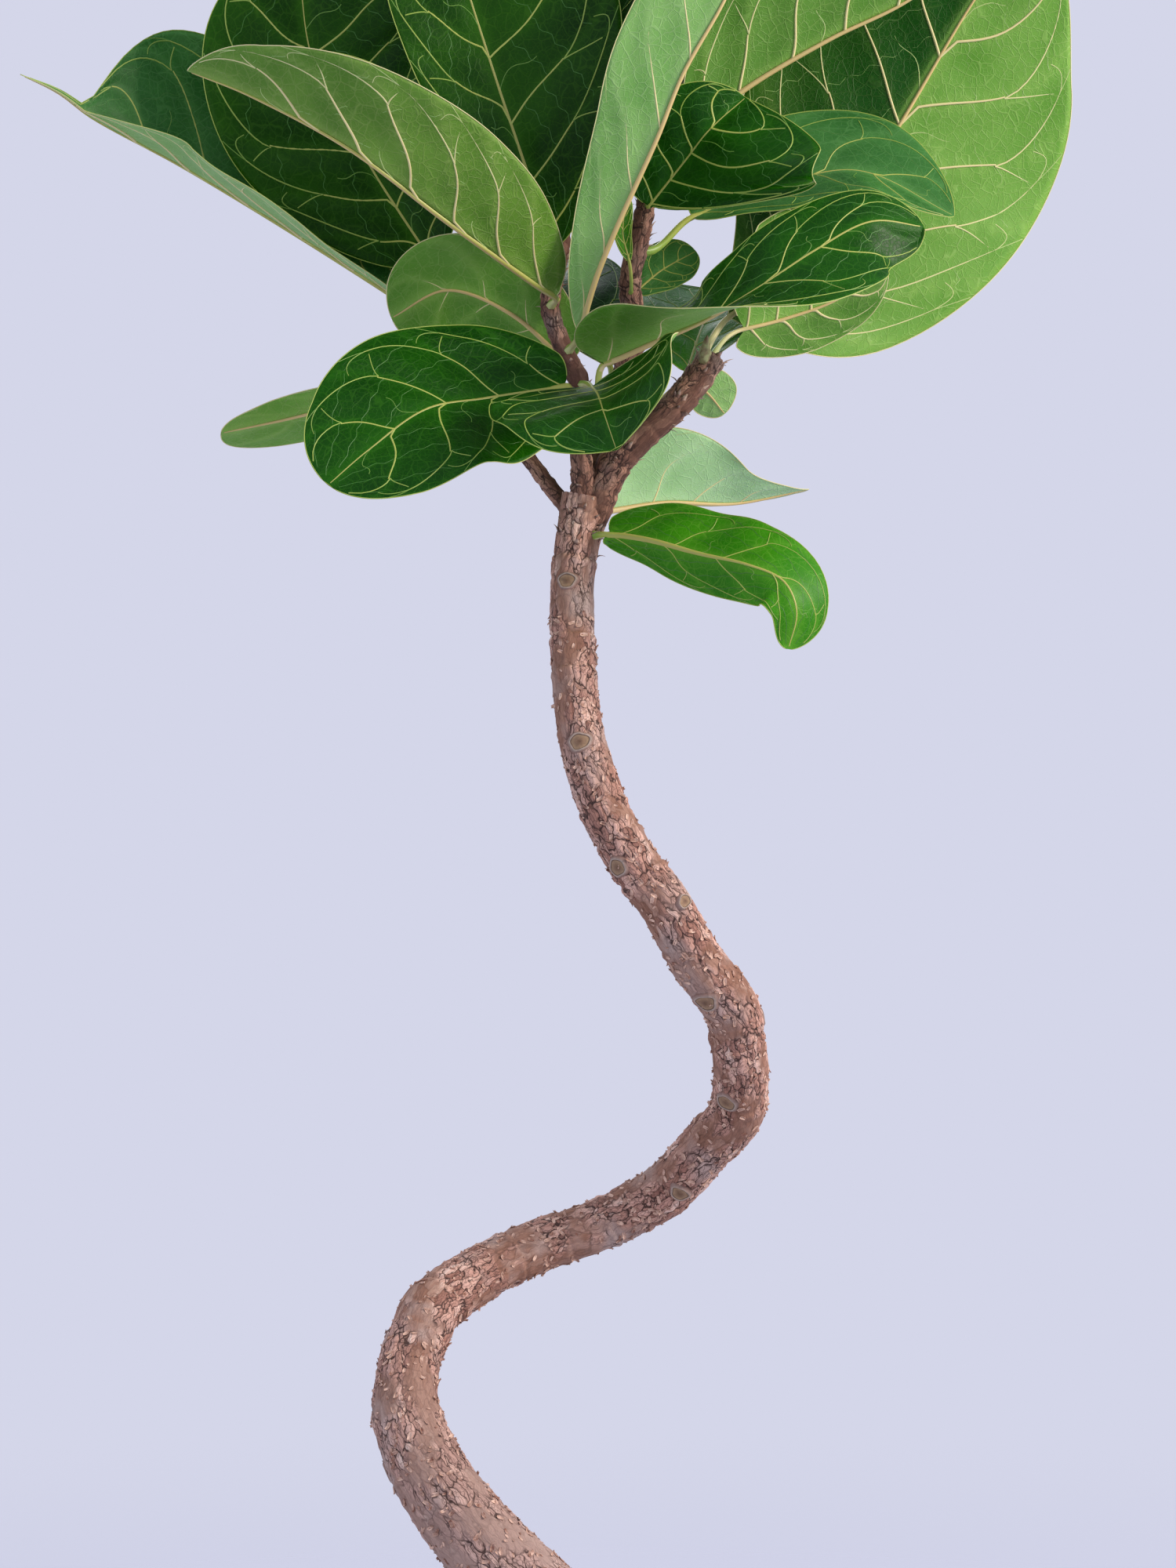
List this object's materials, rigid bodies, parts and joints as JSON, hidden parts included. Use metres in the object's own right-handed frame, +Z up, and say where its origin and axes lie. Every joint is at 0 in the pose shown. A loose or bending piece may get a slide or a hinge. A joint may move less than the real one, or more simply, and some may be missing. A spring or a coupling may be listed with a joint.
{
  "type": "potted fiddle leaf fig",
  "caption": "Potted fiddle leaf fig with a corkscrew trunk, short forked branches and a crown of large folded leaves, standing in a plain tapered planter.",
  "frame": {"origin": "centre of the planter's flat base", "axes": "+Z up along the planter's axis, -Y the front"},
  "size_m": [0.6855, 0.3625, 1.475],
  "materials": {
    "pot": "matte glazed white stoneware",
    "soil": "loose moist potting mix",
    "bark": "flaky brown bark",
    "bud": "dry brown bud scales",
    "leaf": "waxy leathery green leaf"
  },
  "bodies": {
    "root": {"bud_back": "bud", "bud_centre": "bud", "bud_right": "bud", "leaf_back_centre": "leaf", "leaf_back_far_left": "leaf", "leaf_back_left": "leaf", "leaf_back_low": "leaf", "leaf_back_right": "leaf", "leaf_back_right_low": "leaf", "leaf_back_upper_right": "leaf", "leaf_centre_narrow": "leaf", "leaf_centre_tall": "leaf", "leaf_front_droop": "leaf", "leaf_front_left": "leaf", "leaf_gap_small": "leaf", "leaf_left_broad": "leaf", "leaf_left_folded": "leaf", "leaf_left_light": "leaf", "leaf_left_long": "leaf", "leaf_left_upper": "leaf", "leaf_low_behind": "leaf", "leaf_low_left": "leaf", "leaf_low_right": "leaf", "leaf_right_blue": "leaf", "leaf_right_broad": "leaf", "leaf_right_dark": "leaf", "leaf_right_folded": "leaf", "leaf_right_long": "leaf", "leaf_right_pale": "leaf", "leaf_right_small": "leaf", "leaf_top_back": "leaf", "leaf_top_far_left": "leaf", "leaf_top_front": "leaf", "leaf_top_left": "leaf", "leaf_top_right": "leaf", "leaf_top_young": "leaf", "leaf_young": "leaf", "pot": "pot", "soil": "soil", "trunk": "bark"}
  },
  "joints": []
}
